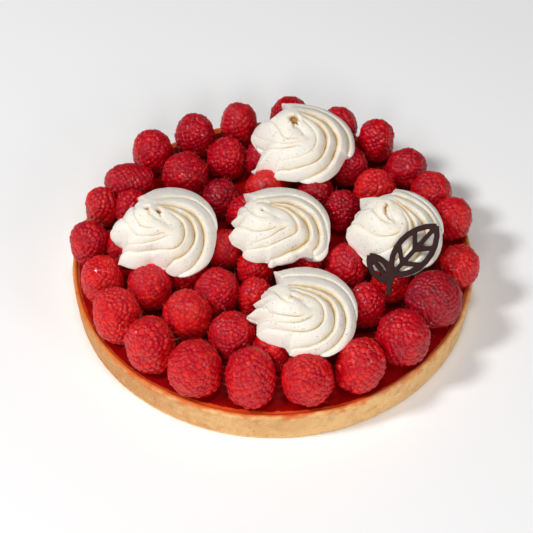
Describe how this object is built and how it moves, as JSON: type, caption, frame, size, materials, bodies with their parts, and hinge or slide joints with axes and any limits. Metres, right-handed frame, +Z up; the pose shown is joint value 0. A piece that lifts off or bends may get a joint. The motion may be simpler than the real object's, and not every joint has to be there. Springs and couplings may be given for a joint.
{
  "type": "raspberry tart",
  "caption": "Round shallow tart: a thin pastry shell filled level with red glaze, covered with whole raspberries and topped with piped cream rosettes and a chocolate sprig.",
  "frame": {"origin": "middle of the flat underside of the shell", "axes": "+Z up, -Y towards the front of the tart, +X to the right seen from the front"},
  "size_m": [0.2048, 0.2039, 0.0587],
  "materials": {
    "crust": "baked sweet pastry: fine sandy grain, pale golden, browner along the rim",
    "jam": "dark red fruit glaze, wet and glossy",
    "berry": "ripe raspberry: velvety round drupelets with a pale bloom and short golden hairs",
    "cream": "piped vanilla cream: ivory, golden in its grooves, with dark vanilla specks",
    "chocolate": "dark chocolate, smooth and satin"
  },
  "bodies": {
    "root": {"crust": "crust", "filling": "jam", "chocolate_sprig": "chocolate", "raspberry_01": "berry", "raspberry_02": "berry", "raspberry_03": "berry", "raspberry_04": "berry", "raspberry_05": "berry", "raspberry_06": "berry", "raspberry_07": "berry", "raspberry_08": "berry", "raspberry_09": "berry", "raspberry_10": "berry", "raspberry_11": "berry", "raspberry_12": "berry", "raspberry_13": "berry", "raspberry_14": "berry", "raspberry_15": "berry", "raspberry_16": "berry", "raspberry_17": "berry", "raspberry_18": "berry", "raspberry_19": "berry", "raspberry_20": "berry", "raspberry_21": "berry", "raspberry_22": "berry", "raspberry_23": "berry", "raspberry_24": "berry", "raspberry_25": "berry", "raspberry_26": "berry", "raspberry_27": "berry", "raspberry_28": "berry", "raspberry_29": "berry", "raspberry_30": "berry", "raspberry_31": "berry", "raspberry_32": "berry", "raspberry_33": "berry", "raspberry_34": "berry", "raspberry_35": "berry", "raspberry_36": "berry", "raspberry_37": "berry", "raspberry_38": "berry", "raspberry_39": "berry", "raspberry_40": "berry", "raspberry_41": "berry", "raspberry_42": "berry", "raspberry_43": "berry", "raspberry_44": "berry", "raspberry_45": "berry", "raspberry_46": "berry", "raspberry_47": "berry", "raspberry_48": "berry", "raspberry_49": "berry", "raspberry_50": "berry", "raspberry_51": "berry", "raspberry_52": "berry", "cream_left": "cream", "cream_front": "cream", "cream_middle": "cream", "cream_right": "cream", "cream_back": "cream"}
  },
  "joints": []
}
